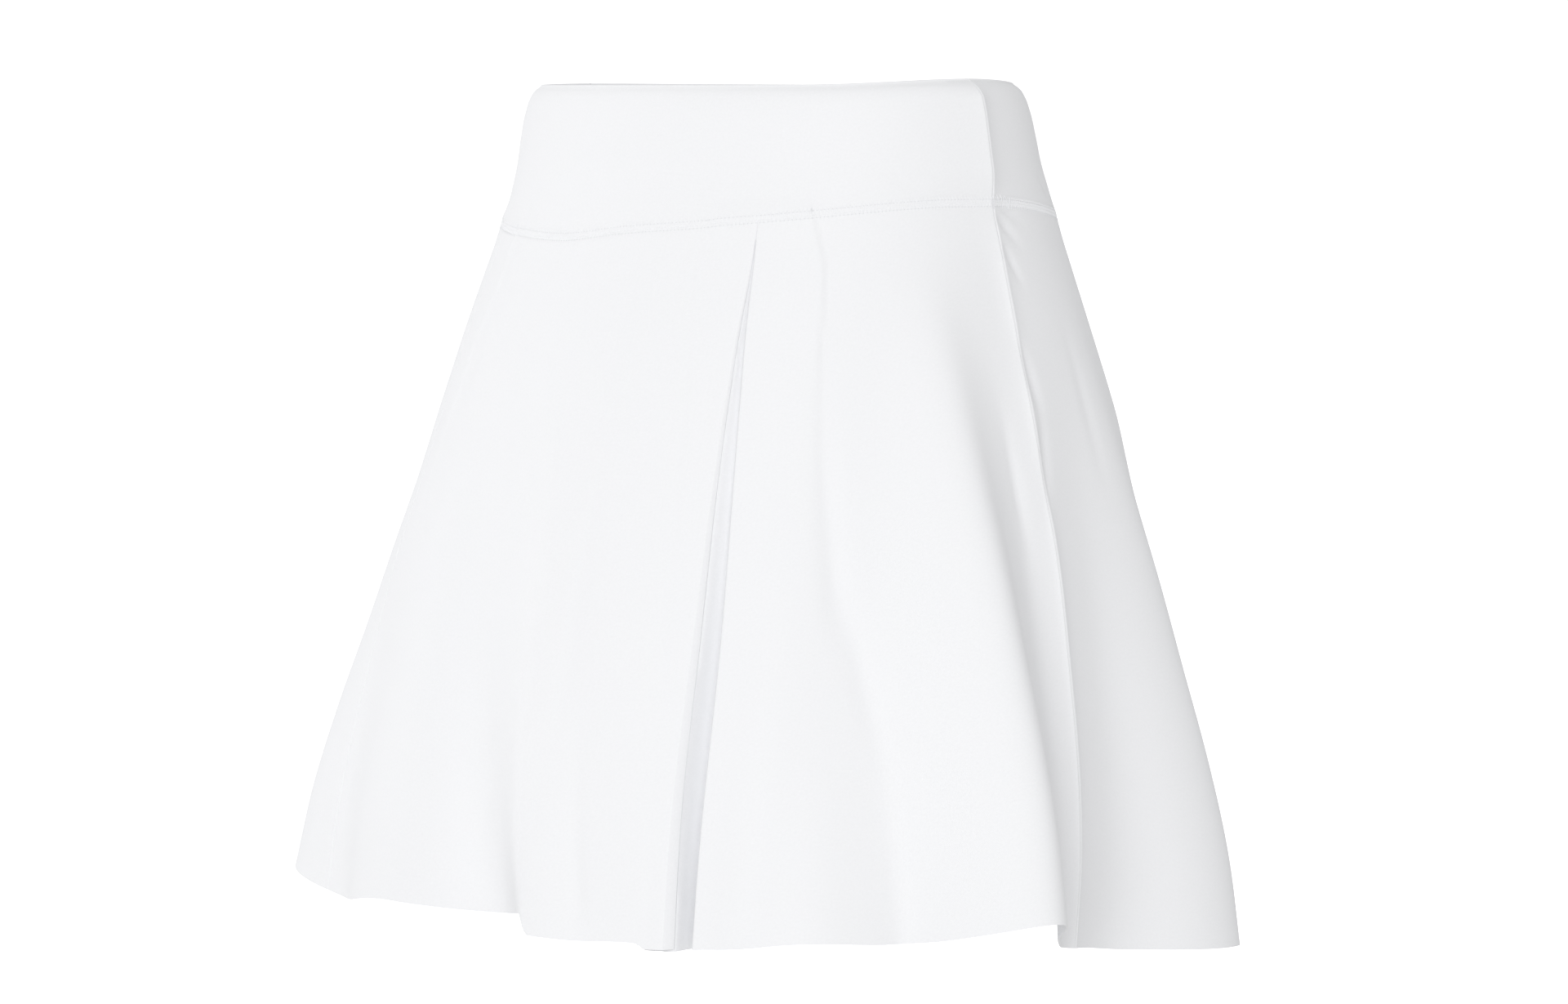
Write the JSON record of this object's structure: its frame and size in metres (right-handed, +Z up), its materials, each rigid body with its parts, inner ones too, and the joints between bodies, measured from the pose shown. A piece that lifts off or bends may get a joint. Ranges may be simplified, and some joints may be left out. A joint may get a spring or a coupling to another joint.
{
  "type": "tennis skirt",
  "caption": "Flared knit tennis skirt with a shaped waistband, inverted box pleats on the front, soft flutes and a raw hem, hollow and worn.",
  "frame": {"origin": "centre of the waist opening, level with the waistband's top edge", "axes": "+Z up through the waist opening, -Y the way the wearer faces, +X to the wearer's left"},
  "size_m": [0.4631, 0.4336, 0.4084],
  "materials": {
    "band_knit": "matt white jersey, doubled",
    "skirt_knit": "matt white jersey, one layer, cut raw at the hem"
  },
  "bodies": {
    "root": {"waistband_front": "band_knit", "waistband_back": "band_knit", "skirt_front": "skirt_knit", "skirt_back": "skirt_knit"}
  },
  "joints": []
}
